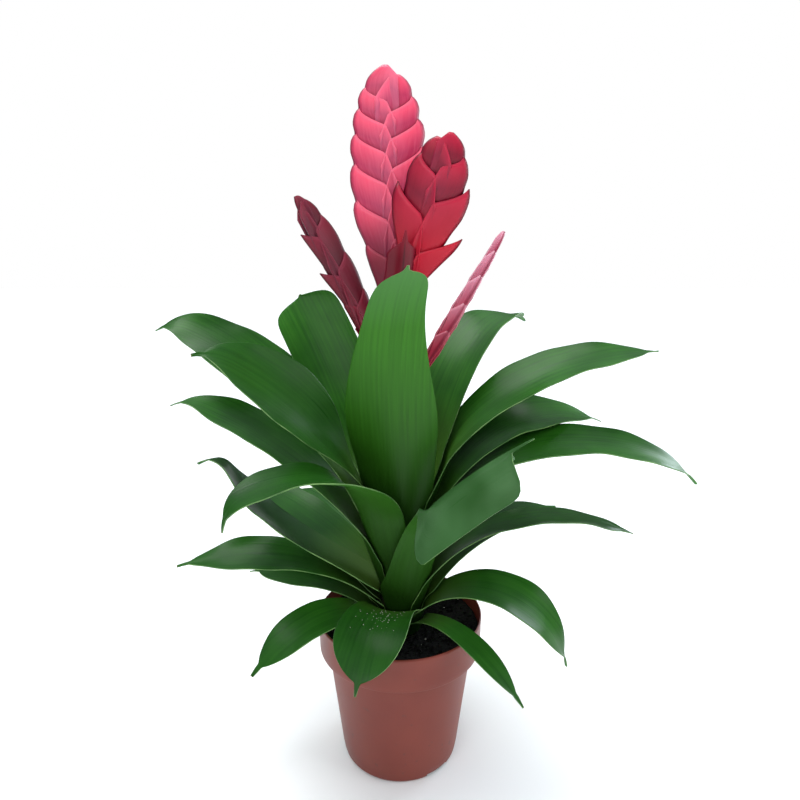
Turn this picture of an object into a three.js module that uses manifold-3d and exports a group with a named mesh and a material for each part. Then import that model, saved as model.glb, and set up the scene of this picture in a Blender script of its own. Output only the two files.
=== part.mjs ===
// Potted bromeliad: a rosette of strap leaves with a branched red flower head, in a 12 cm nursery pot.
// Millimetres, +Z up. The origin is the centre of the pot's underside, on the surface it stands on.
// The side that the photograph shows faces -Y.

import * as THREE from 'three';
import { mergeVertices } from 'three/addons/utils/BufferGeometryUtils.js';
import Module from 'manifold-3d';

const { Vector2, Vector3, MathUtils } = THREE;
const { clamp, degToRad, lerp, smoothstep } = MathUtils;
const UP = new Vector3(0, 0, 1);

// ---------------------------------------------------------------- driving dimensions
const GAP = 0.3;                 // clearance between pieces that touch

const POT = {
  height: 113, rimRadius: 60, collarHeight: 25, collarFootRadius: 59.4,
  bodyTopRadius: 53.5, footRadius: 43, footRounding: 3, wall: 1.2, sides: 36,
  drainHoles: 6, drainRadius: 4, drainCircle: 27,
  slots: 3, slotWidth: 20, slotHeight: 3.5, slotAzimuth: 311,
};
const SOIL = { edgeHeight: 103, stemHeight: 94, lump: 1, perlite: 5, perliteRadius: 1.6, seed: 7 };
const STEM = { radius: 14, foot: 84, leafTop: 196, top: 210, topRadius: 6, sides: 16 };

// The flower stalk stands on the stem. Its centre line is a curve through these points.
const STALK = {
  radius: 4, sides: 8, rows: 5, path: [[0, 0, STEM.top + GAP], [-1, 2, 250], [-2, 3, 290], [-4, 4, 328]],
};

const LEAF = {
  thickness: 0.7, along: 13, across: 5, tipHalfWidth: 0.5, cuspHalfWidth: 1.8, cusp: 7,
  root: 1.05, neck: 0.85, cup: 70, blunt: 2.4, wrap: 58,
  facetSag: 0.25,                // how far the flat facets of a sheath dip towards the stem
  sheathSlope: 72,               // degrees above level, the same for all, so that the sheaths nest
  opening: 45,                   // length over which the sheath opens into the blade
  turning: 70,                   // length over which a foot that is turned comes round
  foldedAway: 0.25,              // share of a folded leaf's far half that stands past the crease
  pinch: 0.7,                    // how much narrower its near half is where the fold begins
};

// One row for each leaf, outermost first. Angles in degrees, lengths in millimetres.
// azimuth: where it points, anticlockwise from +X; base: height of its foot on the stem;
// hold: length of the upright sheath; tip: slope at the tip; bend: how late the leaf bends;
// wrap: half-angle that the sheath may take round the stem; root, neck: breadth of the sheath and of the
// neck above it as shares of the blade's; cup: radius of the blade's channel; swing: how far its foot is
// turned from where it points; shift: how far its tip is carried sideways; twist: roll of the blade;
// lift: extra slope over the outer part; curl: extra bend of the last part; blunt: how square its end is;
// cusp: length of the drip tip; skew: slant of the end; taper: how much narrower the upper part is;
// fold: how far the near half hangs over, with the far half tucked away; along: rows of facets.
const LEAVES = [
  { name: 'leaf_front_right_low', azimuth: 314, base: 100, length: 114, width: 18, hold: 12, tip: -42,
    bend: 0.4, root: 1.4 },
  { name: 'leaf_back_low', azimuth: 75, base: 101, length: 150, width: 38, hold: 6, tip: -20,
    bend: 0.6, along: 8 },
  { name: 'leaf_front_left_low', azimuth: 213, base: 103, length: 118, width: 32, hold: 6, tip: -46,
    bend: 0.6, twist: -10 },
  { name: 'leaf_right_low', azimuth: 342, base: 104.5, length: 150, width: 38, hold: 10, tip: -80,
    bend: 0.85, wrap: 58.5, twist: 12 },
  { name: 'leaf_left_low_under', azimuth: 172, base: 107, length: 112, width: 38, hold: 4, tip: -14,
    bend: 0.5, wrap: 53, twist: -10 },
  { name: 'leaf_back_left_low', azimuth: 129, base: 111.5, length: 165, width: 40, hold: 4, tip: -10,
    bend: 0.5, wrap: 50, along: 8 },
  { name: 'leaf_front_low', azimuth: 253, base: 110.5, length: 98, width: 48, hold: 6, tip: -56,
    bend: 0.7, wrap: 60 },
  { name: 'leaf_back_right_low', azimuth: 25, base: 112, length: 150, width: 38, hold: 10, tip: -10,
    bend: 0.65, wrap: 32, along: 8 },
  { name: 'leaf_left_low', azimuth: 188, base: 115, length: 160, width: 36, hold: 6, tip: -14,
    bend: 0.55, wrap: 44, twist: -12 },
  { name: 'leaf_right_lower', azimuth: 355, base: 115.5, length: 186, width: 36, hold: 27, tip: -22,
    bend: 0.7, twist: -4 },
  { name: 'leaf_back_lower', azimuth: 101, base: 119, length: 175, width: 44, hold: 2, tip: -14,
    bend: 0.5, wrap: 29, along: 8 },
  { name: 'leaf_back_left_mid', azimuth: 152, base: 121.5, length: 160, width: 44, hold: 4, tip: 7.5,
    bend: 0.38, blunt: 5 },
  { name: 'leaf_left_mid_dark', azimuth: 187, base: 128, length: 168, width: 42, hold: 4, tip: 24,
    bend: 0.2, wrap: 38, lift: 40, curl: -90 },
  { name: 'leaf_front_right_fold', azimuth: 352, base: 119.5, length: 185, width: 54, hold: 75,
    tip: 30, bend: 0.5, wrap: 56, neck: 0.6, swing: -65, twist: -40, blunt: 30, cusp: 16, fold: 120 },
  { name: 'leaf_left_mid', azimuth: 176, base: 137, length: 212, width: 46, hold: 40, tip: 19,
    bend: 0.55, twist: -12, curl: -40 },
  { name: 'leaf_back_right_mid', azimuth: 50, base: 138, length: 190, width: 46, hold: 20, tip: -5,
    bend: 0.9, along: 8 },
  { name: 'leaf_right_long', azimuth: 352, base: 143, length: 246, width: 50, hold: 57, tip: -28,
    bend: 0.65, wrap: 68, twist: 8, curl: -20 },
  { name: 'leaf_front_left_arch', azimuth: 214, base: 146.5, length: 190, width: 46, hold: 55,
    tip: -30, bend: 0.8, wrap: 53, cup: 60, swing: 26, curl: -50 },
  { name: 'leaf_right_mid', azimuth: 12, base: 152, length: 200, width: 48, hold: 61, tip: -24,
    bend: 0.82, wrap: 40, twist: 15 },
  { name: 'leaf_back_mid', azimuth: 92, base: 155, length: 170, width: 48, hold: 10, tip: 30,
    bend: 0.6, wrap: 30, along: 8 },
  { name: 'leaf_left_top', azimuth: 165, base: 160, length: 252, width: 48, hold: 12, tip: 14,
    bend: 1.0, neck: 0.6, twist: -34, curl: -40 },
  { name: 'leaf_left_upper', azimuth: 204, base: 170, length: 196, width: 54, hold: 34, tip: 27,
    bend: 0.9, neck: 0.51, twist: -45, curl: -30 },
  { name: 'leaf_right_top', azimuth: 7, base: 174, length: 236, width: 46, hold: 62, tip: -2,
    bend: 0.6, wrap: 50, twist: 16 },
  { name: 'leaf_back_left_top', azimuth: 144, base: 180, length: 179, width: 50, hold: 40, tip: 54,
    bend: 0.8, wrap: 44, neck: 0.6, twist: -50, blunt: 14, cusp: 1.5 },
  { name: 'leaf_back_right_top', azimuth: 47, base: 185, length: 222, width: 50, hold: 50, tip: -28,
    bend: 1.6, wrap: 44 },
  { name: 'leaf_front_upright', azimuth: 261, base: 178, length: 193, width: 61, hold: 60, tip: 80,
    bend: 1, wrap: 64, neck: 1, shift: 17, blunt: 10, cusp: 3, skew: 3, taper: 0.47 },
];

// The boat-shaped bracts below the side spikes, grown on the flower stalk, in the same terms.
const STALK_BRACTS = [
  { azimuth: 285, base: 316, length: 72, width: 32, hold: 4, tip: 74, bend: 1, cup: 11 },
  { azimuth: 188, base: 272, length: 56, width: 22, hold: 4, tip: 58, bend: 1, cup: 9 },
  { azimuth: 5, base: 262, length: 44, width: 18, hold: 4, tip: 58, bend: 1, cup: 9 },
];
const STALK_BRACT = {
  root: 3, slope: 68, along: 5, across: 4, thickness: 1,
  wider: 6, longer: 4, wrapMore: 20,   // growth of the cleared space for each millimetre of clearance
};

// One row for each flat spike: the point where its stalk leaves the flower stalk, the foot and the tip
// of the flat part, the direction that its face is turned to (degrees from +X), its greatest reach to
// either side, its breadth at the foot as a share of that, where it is widest, its half-depth, how broad
// the left rank is against the right, the height of each bract's tip as a share of the flat part (left
// and right in turn, from the lowest), and how far some of the bracts stand open.
const SPIKES = [
  { name: 'spike_main', color: '#c83a62', from: [-4, 4, 328 + GAP], foot: [-4, 4, 336], tip: [-9, 11, 484],
    facing: 270, reach: 25, root: 0.42, widest: 0.5, half: 6, left: 1, open: {},
    tips: [0.1, 0.19, 0.28, 0.38, 0.47, 0.55, 0.62, 0.68, 0.74, 0.79, 0.84, 0.88, 0.92, 0.96, 1] },
  { name: 'spike_right', color: '#a3142f', from: [1.6, 0.2, 322], foot: [2, -4, 340], tip: [30, -19, 440],
    facing: 262, reach: 20.5, root: 0.35, widest: 0.6, half: 6, left: 1, open: { 1: 9, 2: 6, 3: 4 },
    tips: [0.3, 0.46, 0.67, 0.74, 0.86, 0.9, 0.96, 1] },
  { name: 'spike_left', color: '#7a1730', from: [-7, 2, 283], foot: [-17, 0, 306], tip: [-66, -4, 405],
    facing: 300, reach: 15, root: 0.4, widest: 0.4, half: 4.5, left: 0.3, open: { 2: 5, 4: 5 },
    tips: [0.34, 0.38, 0.56, 0.62, 0.8, 0.86, 0.93, 0.97, 1] },
  { name: 'spike_thin', color: '#b92548', from: [3.6, 3, 272], foot: [16, 5, 294], tip: [68, 8, 384],
    facing: 5, reach: 12, root: 0.5, widest: 0.4, half: 5, left: 1, open: { 1: 4 },
    tips: [0.3, 0.4, 0.5, 0.6, 0.7, 0.79, 0.87, 0.94, 1] },
];
const BRACT = {
  rows: 3, keelHalf: 0.5, rootHalf: 1.5, lip: 0.7, overlap: 0.2, peduncle: 2.4, peduncleSides: 6,
  below: 8, stagger: 0.37,       // how far the lowest feet reach below the flat part, no two at one height
  cleaned: 0.03,                 // slivers finer than this are taken out of a joined spike
  across: [0, 0.45, 1],          // places of a bract's points, 0 on the keel to 1 on its inner edge
};

// ---------------------------------------------------------------- solids
const wasm = await Module();
wasm.setup();

// A material in one plain finish.
function finish(color, roughness, metalness = 0) {
  return new THREE.MeshStandardMaterial({ color, roughness, metalness, side: THREE.DoubleSide });
}

// The geometry's points as one closed manifold solid.
function solidOf(geometry) {
  const plain = geometry.clone();
  plain.deleteAttribute('normal');
  plain.deleteAttribute('uv');
  const merged = mergeVertices(plain, 1e-4);
  return new wasm.Manifold(new wasm.Mesh({
    numProp: 3,
    vertProperties: new Float32Array(merged.attributes.position.array),
    triVerts: new Uint32Array(merged.index.array),
  }));
}

// A manifold solid as three.js geometry.
function geometryOf(solid) {
  const mesh = solid.getMesh();
  const geometry = new THREE.BufferGeometry();
  geometry.setAttribute('position', new THREE.BufferAttribute(mesh.vertProperties, 3));
  geometry.setIndex(new THREE.BufferAttribute(mesh.triVerts, 1));
  return geometry;
}

// A closed skin through rings that all have the same even number of points. Each ring runs along one
// face and back along the other; the second half is split on the other diagonal, so the two faces of a
// thin blade have the same triangles. The ends are closed by strips between the two faces.
function loft(rings) {
  const count = rings[0].length;
  const position = rings.flat().flatMap((point) => [point.x, point.y, point.z]);
  const index = [];
  for (let row = 0; row < rings.length - 1; row += 1) {
    for (let i = 0; i < count; i += 1) {
      const next = (i + 1) % count;
      const [a, b] = [row * count + i, row * count + next];
      const [c, d] = [b + count, a + count];
      if (i < count / 2) index.push(a, b, c, a, c, d);
      else index.push(a, b, d, b, c, d);
    }
  }
  const last = (rings.length - 1) * count;
  for (let i = 0; i < count / 2 - 1; i += 1) {
    const [near, far] = [i, count - 1 - i];
    index.push(near, far, far - 1, near, far - 1, near + 1);
    index.push(last + near, last + far - 1, last + far, last + near, last + near + 1, last + far - 1);
  }
  const geometry = new THREE.BufferGeometry();
  geometry.setAttribute('position', new THREE.Float32BufferAttribute(position, 3));
  geometry.setIndex(index);
  return geometry;
}

// A solid of revolution about +Z from [radius, height] pairs.
function turned(profile, sides) {
  const points = profile.map(([radius, height]) => new Vector2(radius, height));
  return new THREE.LatheGeometry(points, sides).rotateX(Math.PI / 2);
}

// A repeatable random number generator, 0 to 1.
function seeded(seed) {
  let state = seed;
  return () => {
    state = (state * 16807) % 2147483647;
    return state / 2147483647;
  };
}

const plant = new THREE.Group();

function addMesh(name, geometry, material) {
  const mesh = new THREE.Mesh(geometry, material);
  mesh.name = name;
  plant.add(mesh);
  return mesh;
}

// ---------------------------------------------------------------- leaves
// Half-width along the leaf, 0 at the foot to 1 at the tip: a broad sheath, a neck, the full blade, then
// a blunt end with a small drip tip.
function halfWidth(leaf, t) {
  const root = leaf.root ?? LEAF.root;
  const neck = leaf.neck ?? LEAF.neck;
  const cuspStart = 1 - (leaf.cusp ?? LEAF.cusp) / leaf.length;
  const breadth = root + (neck - root) * smoothstep(t, 0, 0.25) + (1 - neck) * smoothstep(t, 0.25, 0.62);
  const x = clamp((t / cuspStart - 0.62) / 0.38, 0, 1);
  const end = Math.pow(1 - Math.pow(x, leaf.blunt ?? LEAF.blunt), 0.8);
  const taper = 1 - (leaf.taper ?? 0) * smoothstep(t, 0.45, 0.95);
  const inCusp = clamp((t - cuspStart) / (1 - cuspStart), 0, 1);
  const cusp = lerp(LEAF.cuspHalfWidth, LEAF.tipHalfWidth, inCusp);
  return Math.max(cusp, 0.5 * leaf.width * breadth * taper * end);
}

// Centre line of a leaf that leaves a round stem at the given radius and slope: points with the
// heading and slope there, closer together near the tip.
function leafSpine(leaf, start, startSlope, rows) {
  const substeps = 6;
  const count = rows * substeps;
  const swing = leaf.swing ?? 0;
  const foot = degToRad(leaf.azimuth + swing);
  const point = new Vector3(start * Math.cos(foot), start * Math.sin(foot), leaf.base);
  const spine = [];
  let before = 0;
  for (let step = 0; step <= count; step += 1) {
    const t = 1 - Math.pow(1 - step / count, 1.3);
    const turned = swing * (1 - smoothstep(t * leaf.length, leaf.hold, leaf.hold + LEAF.turning));
    const azimuth = degToRad(leaf.azimuth + turned);
    const outward = new Vector3(Math.cos(azimuth), Math.sin(azimuth), 0);
    const sideways = new Vector3(-outward.y, outward.x, 0);
    const bent = Math.max(0, (t * leaf.length - leaf.hold) / (leaf.length - leaf.hold));
    const extra = (leaf.lift ?? 0) * smoothstep(t, 0.3, 1) + (leaf.curl ?? 0) * smoothstep(t, 0.86, 1);
    const slope = degToRad(lerp(startSlope, leaf.tip, Math.pow(bent, leaf.bend)) + extra);
    const travel = (t - before) * leaf.length;
    point.addScaledVector(outward, travel * Math.cos(slope));
    point.addScaledVector(sideways, (leaf.shift ?? 0) * (Math.pow(t, 6) - Math.pow(before, 6)));
    point.z += travel * Math.sin(slope);
    before = t;
    if (step % substeps === 0) spine.push({ t, slope, outward, point: point.clone() });
  }
  return spine;
}

// The ring of points round the leaf at one place on its centre line. In the sheath the section is a
// level arc about the stem; in the blade it is a channel square to the leaf.
function leafRing(leaf, { t, slope, outward, point }, across, thickness) {
  const open = smoothstep(t * leaf.length, leaf.hold, leaf.hold + LEAF.opening);
  const lean = open * (Math.PI / 2 - slope);
  const side = new Vector3(-outward.y, outward.x, 0);
  const up = outward.clone().multiplyScalar(-Math.cos(lean)).addScaledVector(UP, Math.sin(lean));
  const direction = outward.clone().multiplyScalar(Math.cos(slope)).addScaledVector(UP, Math.sin(slope));
  const folded = leaf.fold ? smoothstep(t, 0.44, 0.68) : 0;
  const far = lerp(1, LEAF.foldedAway, folded);
  const pinched = leaf.fold ? smoothstep(t, 0.2, 0.52) * (1 - smoothstep(t, 0.58, 0.66)) : 0;
  const near = 1 - LEAF.pinch * pinched;
  const roll = degToRad((leaf.twist ?? 0) * smoothstep(t, 0.12, 0.6) + (leaf.fold ?? 0) * folded);
  side.applyAxisAngle(direction, roll);
  up.applyAxisAngle(direction, roll);
  const radius = lerp(Math.hypot(point.x, point.y), leaf.cup ?? LEAF.cup, open);
  const half = halfWidth(leaf, t);
  const wrap = Math.min(half / radius, degToRad(leaf.wrap ?? LEAF.wrap));
  const slant = (leaf.skew ?? 0) * smoothstep(t, 0.6, 0.9) * Math.min(1, half / (0.3 * leaf.width));
  const outer = [];
  const inner = [];
  for (let i = 0; i <= across; i += 1) {
    const u = 2 * i / across - 1;
    const angle = wrap * u * (u > 0 ? far : near);
    const middle = point.clone()
      .addScaledVector(side, radius * Math.sin(angle))
      .addScaledVector(up, radius * (1 - Math.cos(angle)))
      .addScaledVector(direction, slant * u);
    const normal = side.clone().multiplyScalar(-Math.sin(angle)).addScaledVector(up, Math.cos(angle));
    outer.push(middle.clone().addScaledVector(normal, -thickness / 2));
    inner.unshift(middle.clone().addScaledVector(normal, thickness / 2));
  }
  return [...outer, ...inner];
}

function leafGeometry(leaf) {
  const start = STEM.radius + GAP + LEAF.thickness / 2 + LEAF.facetSag;
  const spine = leafSpine(leaf, start, LEAF.sheathSlope, leaf.along ?? LEAF.along);
  return loft(spine.map((station) => leafRing(leaf, station, LEAF.across, LEAF.thickness)));
}

// ---------------------------------------------------------------- flower head
// Points of a regular polygon about the centre, in the plane of the two directions.
function ring(centre, radius, sides, across, upward) {
  return Array.from({ length: sides }, (_, i) => {
    const angle = 2 * Math.PI * (i + 0.5) / sides;
    return centre.clone()
      .addScaledVector(across, radius * Math.cos(angle))
      .addScaledVector(upward, radius * Math.sin(angle));
  });
}

// Reach of a spike's edge from its middle, for 0 at the foot to 1 at the top.
function spikeReach(spike, x) {
  const rise = lerp(spike.root, 1, smoothstep(x, 0, spike.widest));
  const past = clamp((x - 0.5) / 0.5, 0, 1);
  return spike.reach * rise * Math.max(0.1, Math.pow(1 - Math.pow(past, 2.6), 0.55));
}

// A point of a keeled bract in the spike's own frame: x across, y up the spike, z out of its face.
// a: 0 on the keel, which is the spike's edge, to 1 just past the middle of the face; s: 0 at the foot to
// 1 on the free margin. The margin sags from the tip and stands off the face, so that each bract covers
// the foot of the next; the topmost bract closes over the end.
function bractPoint(spike, length, bract, a, s) {
  const { tipHeight, spacing, bractLength, share, spread } = bract;
  const crown = tipHeight > 0.99 * length;
  const drop = 0.62 * spikeReach(spike, tipHeight / length) * share + 3 + 0.5 * spread;
  const sag = crown ? 1.6 * a * a * a : 0.22 * (1 - Math.pow(1 - a, 4)) + 0.78 * a;
  const fall = crown ? 0 : 0.8 * spacing * smoothstep(a, 0.75, 1);
  const beyond = BRACT.overlap * spike.reach * (crown ? 1.5 : 1);
  const y = lerp(tipHeight - bractLength, tipHeight - drop * sag - fall, s);
  const below = (tipHeight - y) / spacing;
  const reach = spikeReach(spike, y / length);
  const tuck = 0.14 * Math.pow(Math.max(0, 1 - below / 0.35), 2) + 0.1 * smoothstep(below, 0.55, 1.1)
    + 0.7 * smoothstep(below, 1.1, 2.6);
  const edge = share * reach * (1 - tuck) + spread * Math.pow(Math.max(0, 1 - below), 1.5);
  const full = spike.half * lerp(0.3, 1, reach / spike.reach);
  const half = lerp(BRACT.rootHalf, full, Math.pow(s, 0.8)) + BRACT.lip * smoothstep(s, 0.85, 1);
  const depth = BRACT.keelHalf + (half - BRACT.keelHalf) * Math.pow(Math.sin(a * Math.PI / 2), 0.8);
  return new Vector3(lerp(edge, -beyond, a), y, depth);
}

function bractGeometry(spike, length, bract, sideSign) {
  const rings = Array.from({ length: BRACT.rows + 1 }, (_, row) => {
    const section = BRACT.across.map((a) => bractPoint(spike, length, bract, a, row / BRACT.rows));
    const front = section.map(({ x, y, z }) => new Vector3(sideSign * x, y, z));
    const back = section.map(({ x, y, z }) => new Vector3(sideSign * x, y, -z)).reverse();
    const points = [...front, ...back];
    return sideSign > 0 ? points.reverse() : points;
  });
  return loft(rings);
}

// The frame of a spike: columns are across, along and out of the face.
function spikeFrame(spike) {
  const foot = new Vector3(...spike.foot);
  const along = new Vector3(...spike.tip).sub(foot);
  const length = along.length();
  along.normalize();
  const facing = degToRad(spike.facing);
  const out = new Vector3(Math.cos(facing), Math.sin(facing), 0);
  const across = new Vector3().crossVectors(along, out).normalize();
  out.crossVectors(across, along);
  return { foot, along, across, out, length };
}

// The bracts and their rod as one body, cut back where the flower stalk and its bracts pass.
function spikeGeometry(spike, stalkClearance) {
  const { foot, along, across, out, length } = spikeFrame(spike);
  const frame = new THREE.Matrix4().makeBasis(across, along, out).setPosition(foot);
  const solids = spike.tips.map((tip, i) => {
    const pair = Math.max(i, 2);
    const spacing = (spike.tips[pair] - spike.tips[pair - 2]) * length;
    const tipHeight = tip * length;
    const sideSign = i % 2 ? 1 : -1;
    const bract = {
      tipHeight,
      spacing,
      bractLength: Math.min(Math.max(26, 2.4 * spacing + 6), tipHeight + BRACT.below - BRACT.stagger * i),
      share: sideSign < 0 ? spike.left : 1,
      spread: spike.open[i] ?? 0,
    };
    return solidOf(bractGeometry(spike, length, bract, sideSign).applyMatrix4(frame));
  });
  const start = new Vector3(...spike.from);
  const middle = foot.clone().addScaledVector(along, length * 0.6);
  const rod = [
    ring(start, BRACT.peduncle, BRACT.peduncleSides, out, across),
    ring(foot, BRACT.peduncle, BRACT.peduncleSides, out, across),
    ring(middle, BRACT.peduncle * 0.5, BRACT.peduncleSides, out, across),
  ];
  solids.push(solidOf(loft(rod)));
  const cut = wasm.Manifold.union(solids).subtract(stalkClearance).simplify(BRACT.cleaned);
  const [largest] = cut.decompose().sort((a, b) => b.volume() - a.volume());
  return geometryOf(largest);
}

// ---------------------------------------------------------------- pot
function potProfile() {
  const { height, rimRadius, collarHeight, collarFootRadius, bodyTopRadius, footRadius } = POT;
  const { footRounding, wall } = POT;
  const collarFoot = height - collarHeight;
  const inner = (radius) => radius - wall;
  return [
    [0, 0],
    [footRadius - footRounding, 0],
    [footRadius - footRounding * 0.3, footRounding * 0.3],
    [footRadius, footRounding],
    [bodyTopRadius, collarFoot - 1],
    [bodyTopRadius + 1, collarFoot],
    [collarFootRadius, collarFoot],
    [rimRadius - 0.3, height - 2],
    [rimRadius, height - 1],
    [rimRadius - wall / 2, height],
    [inner(rimRadius), height - 1],
    [inner(collarFootRadius), collarFoot + wall],
    [inner(bodyTopRadius) + 1, collarFoot + wall],
    [inner(bodyTopRadius), collarFoot - 1],
    [inner(footRadius), footRounding + wall],
    [inner(footRadius) - footRounding, wall + 0.3],
    [0, wall + 0.3],
  ];
}

function potGeometry() {
  let pot = solidOf(turned(potProfile(), POT.sides));
  for (let i = 0; i < POT.drainHoles; i += 1) {
    const hole = new THREE.CylinderGeometry(POT.drainRadius, POT.drainRadius, 10, 12).rotateX(Math.PI / 2);
    hole.translate(POT.drainCircle, 0, 0).rotateZ((i + 0.5) * 2 * Math.PI / POT.drainHoles);
    pot = pot.subtract(solidOf(hole));
  }
  for (let i = 0; i < POT.slots; i += 1) {
    const slot = new THREE.BoxGeometry(12, POT.slotWidth, 2 * POT.slotHeight);
    slot.translate(POT.footRadius, 0, 0).rotateZ(degToRad(POT.slotAzimuth) + i * 2 * Math.PI / POT.slots);
    pot = pot.subtract(solidOf(slot));
  }
  return geometryOf(pot);
}

// ---------------------------------------------------------------- soil and stem
// The potting mix fills the pot to a lumpy surface, with perlite grains set in it and a plain hole
// for the stem.
function soilGeometry() {
  const { height, rimRadius, collarHeight, collarFootRadius, bodyTopRadius, footRadius, wall } = POT;
  const inset = wall + GAP;
  const floor = wall + 0.3 + GAP;
  const step = height - collarHeight + wall + GAP;
  const edge = lerp(collarFootRadius, rimRadius, (SOIL.edgeHeight - step) / collarHeight) - inset - 0.3;
  const surface = [0.82, 0.64, 0.46, 0.27].map((x) => [
    edge * x, lerp(SOIL.stemHeight, SOIL.edgeHeight, Math.sqrt(x)),
  ]);
  const profile = [
    [0, floor],
    [footRadius - inset - POT.footRounding - 0.4, floor],
    [footRadius - inset - 0.3, POT.footRounding + wall + 1],
    [bodyTopRadius - inset - 0.3, step],
    [collarFootRadius - inset - 0.3, step],
    [edge, SOIL.edgeHeight],
    ...surface,
    [0, SOIL.stemHeight],
  ];
  const geometry = turned(profile, POT.sides);
  geometry.deleteAttribute('normal');
  geometry.deleteAttribute('uv');
  const lumpy = mergeVertices(geometry, 1e-3);
  const random = seeded(SOIL.seed);
  const place = lumpy.attributes.position;
  for (let i = 0; i < place.count; i += 1) {
    const radius = Math.hypot(place.getX(i), place.getY(i));
    const onTop = place.getZ(i) > step + 1 && radius < edge - 1;
    if (onTop) place.setZ(i, place.getZ(i) + SOIL.lump * (random() - 0.5));
  }
  let soil = solidOf(lumpy);
  for (let i = 0; i < SOIL.perlite; i += 1) {
    const angle = 2 * Math.PI * random();
    const radius = edge * lerp(0.45, 0.93, random());
    const size = SOIL.perliteRadius * lerp(0.6, 1, random());
    const grain = new THREE.IcosahedronGeometry(size, 0);
    const heightHere = lerp(SOIL.stemHeight, SOIL.edgeHeight, Math.sqrt(radius / edge));
    grain.translate(radius * Math.cos(angle), radius * Math.sin(angle), heightHere);
    soil = soil.add(solidOf(grain));
  }
  const hole = new THREE.CylinderGeometry(STEM.radius + GAP, STEM.radius + GAP, 60, STEM.sides);
  hole.rotateX(Math.PI / 2).translate(0, 0, STEM.foot - GAP + 30);
  return geometryOf(soil.subtract(solidOf(hole)));
}

function stemGeometry() {
  const { radius, foot, leafTop, top, topRadius, sides } = STEM;
  const profile = [[0, foot], [radius, foot], [radius, leafTop], [topRadius, top], [0, top]];
  return geometryOf(solidOf(turned(profile, sides)));
}

// The flower stalk with the boat-shaped bracts under its side spikes, as a solid whose faces stand out
// by the given clearance.
function stalkSolid(clearance) {
  const path = new THREE.CatmullRomCurve3(STALK.path.map((point) => new Vector3(...point)));
  const rows = STALK.rows;
  const rings = Array.from({ length: rows + 1 }, (_, row) => (
    ring(path.getPoint(row / rows), STALK.radius + clearance, STALK.sides, new Vector3(1, 0, 0),
      new Vector3(0, 1, 0))
  ));
  let stalk = solidOf(loft(rings));
  for (const bract of STALK_BRACTS) {
    const { root, slope, along, across, thickness, wider, longer, wrapMore } = STALK_BRACT;
    const grown = {
      ...bract,
      width: bract.width + wider * clearance,
      length: bract.length + longer * clearance,
      wrap: LEAF.wrap + wrapMore * clearance,
    };
    const centre = path.getPoint((bract.base - STALK.path[0][2]) / (STALK.path.at(-1)[2] - STALK.path[0][2]));
    const spine = leafSpine(grown, root, slope, along);
    const geometry = loft(spine.map((station) => (
      leafRing(grown, station, across, thickness + 2 * clearance)
    )));
    stalk = stalk.add(solidOf(geometry.translate(centre.x, centre.y, 0)));
  }
  return stalk;
}

addMesh('pot', potGeometry(), finish('#8a4c42', 0.45));
addMesh('soil', soilGeometry(), finish('#1d1714', 0.95));
addMesh('stem', stemGeometry(), finish('#2c2f1a', 0.8));
addMesh('flower_stalk', geometryOf(stalkSolid(0)), finish('#5c1428', 0.5));
for (const leaf of LEAVES) addMesh(leaf.name, leafGeometry(leaf), finish('#2f6b2a', 0.4));
const stalkClearance = stalkSolid(GAP + 0.3);
for (const spike of SPIKES) {
  addMesh(spike.name, spikeGeometry(spike, stalkClearance), finish(spike.color, 0.4));
}

export default plant;
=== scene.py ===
# Potted bromeliad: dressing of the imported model. Metres, +Z up, the photographed side faces -Y.
# Sizes in the tables are in millimetres and angles in degrees; MM turns a size to metres.
import math
import random

import bmesh
import bpy
from mathutils import Matrix, Vector, noise


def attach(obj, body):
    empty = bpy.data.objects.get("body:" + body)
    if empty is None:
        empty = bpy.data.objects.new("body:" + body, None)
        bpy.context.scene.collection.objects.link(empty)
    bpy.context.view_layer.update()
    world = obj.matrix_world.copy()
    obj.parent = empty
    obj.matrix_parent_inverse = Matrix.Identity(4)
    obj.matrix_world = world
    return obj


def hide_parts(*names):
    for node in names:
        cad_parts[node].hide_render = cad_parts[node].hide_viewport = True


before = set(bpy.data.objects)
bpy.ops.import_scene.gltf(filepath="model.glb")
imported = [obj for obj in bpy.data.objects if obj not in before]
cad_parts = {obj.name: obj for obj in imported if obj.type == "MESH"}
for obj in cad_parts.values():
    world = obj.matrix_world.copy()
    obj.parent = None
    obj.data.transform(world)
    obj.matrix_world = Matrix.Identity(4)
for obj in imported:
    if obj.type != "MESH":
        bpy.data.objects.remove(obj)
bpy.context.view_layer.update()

MM = 0.001
MAP_SPAN = 100  # millimetres of a blade in one unit of its UV map "size"


# ------------------------------------------------------------------ small helpers
def lerp(a, b, t):
    return a + (b - a) * t


def clamp(x):
    return min(1.0, max(0.0, x))


def smooth(x, low, high):
    """0 up to low, 1 from high on, and an S-curve between them."""
    t = clamp((x - low) / (high - low))
    return t * t * (3 - 2 * t)


def linear(hex_colour):
    """An sRGB hex colour as linear RGBA."""
    channels = [int(hex_colour[i:i + 2], 16) / 255 for i in (1, 3, 5)]
    return [c / 12.92 if c <= 0.04045 else ((c + 0.055) / 1.055) ** 2.4 for c in channels] + [1.0]


def add(tree, kind, inputs=None, stops=None, **settings):
    """A shader node with its settings. inputs maps a socket's name or number to a value or to an output, and
    stops are a colour ramp's places and hex colours."""
    node = tree.nodes.new(kind)
    for name, value in settings.items():
        setattr(node, name, value)
    for key, value in (inputs or {}).items():
        if isinstance(value, bpy.types.NodeSocket):
            tree.links.new(value, node.inputs[key])
        else:
            node.inputs[key].default_value = value
    if stops:
        elements = node.color_ramp.elements
        while len(elements) < len(stops):
            elements.new(0.5)
        for element, (place, colour) in zip(elements, stops):
            element.position = place
            element.color = linear(colour)
    return node


def per_metre(width):
    """Scale of a pattern on Object coordinates whose features are so many millimetres wide."""
    return 1 / (width * MM)


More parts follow.
